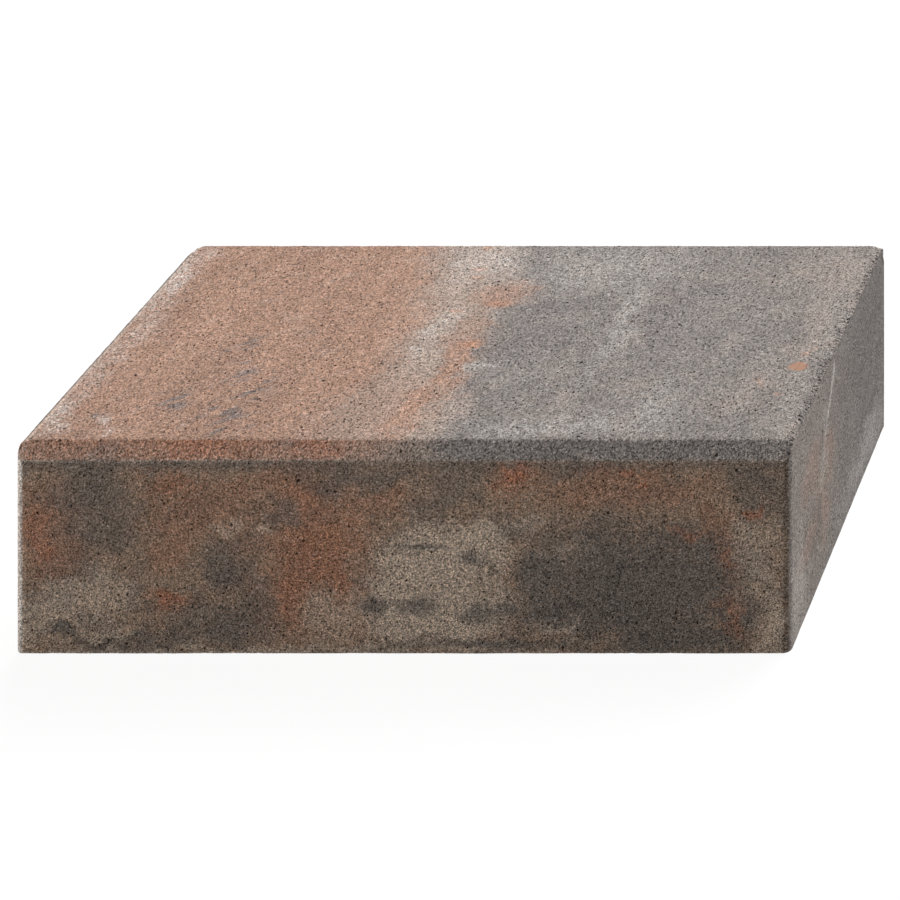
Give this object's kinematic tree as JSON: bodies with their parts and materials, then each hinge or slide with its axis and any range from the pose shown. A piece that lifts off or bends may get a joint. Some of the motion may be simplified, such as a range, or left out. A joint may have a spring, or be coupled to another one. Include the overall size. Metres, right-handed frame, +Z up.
{
  "type": "concrete block step",
  "caption": "Solid cast concrete stair block with chamfered long tread edges, softened corners and flat faces, laid as a single garden step.",
  "frame": {"origin": "on the ground, under the middle of the block", "axes": "+X along the step's length, +Y from the front (riser) face to the back face, +Z up"},
  "size_m": [0.75, 0.4, 0.2],
  "materials": {
    "concrete": "matt cast concrete with fine open pores, mottled terracotta, brown, anthracite and warm grey"
  },
  "bodies": {
    "root": {"block_step": "concrete"}
  },
  "joints": []
}
